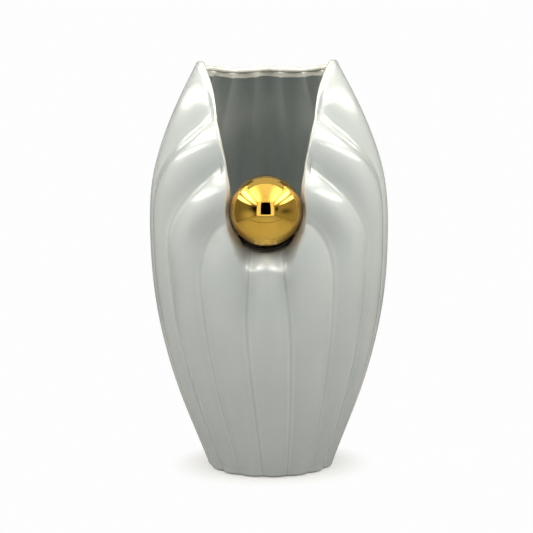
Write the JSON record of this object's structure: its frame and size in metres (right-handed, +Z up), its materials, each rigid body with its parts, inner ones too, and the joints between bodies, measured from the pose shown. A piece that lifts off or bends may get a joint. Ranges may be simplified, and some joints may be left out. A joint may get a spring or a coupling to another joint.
{
  "type": "vase",
  "caption": "Tall ribbed barrel vase whose ribs lean in towards a V-shaped mouth, with a gold ball seated at the bottom of the V.",
  "frame": {"origin": "centre of the foot, on the surface that the vase stands on", "axes": "+Z up, -Y towards the front, where the V-shaped mouth opens and the ball sits, +X to the right seen from the front"},
  "size_m": [0.1772, 0.1885, 0.3017],
  "materials": {
    "white_glaze": "gloss",
    "gold_lustre": "polished",
    "dark_epoxy": "gloss"
  },
  "bodies": {
    "root": {"vase_body": "white_glaze", "gold_ball": "gold_lustre", "ball_adhesive": "dark_epoxy"}
  },
  "joints": []
}
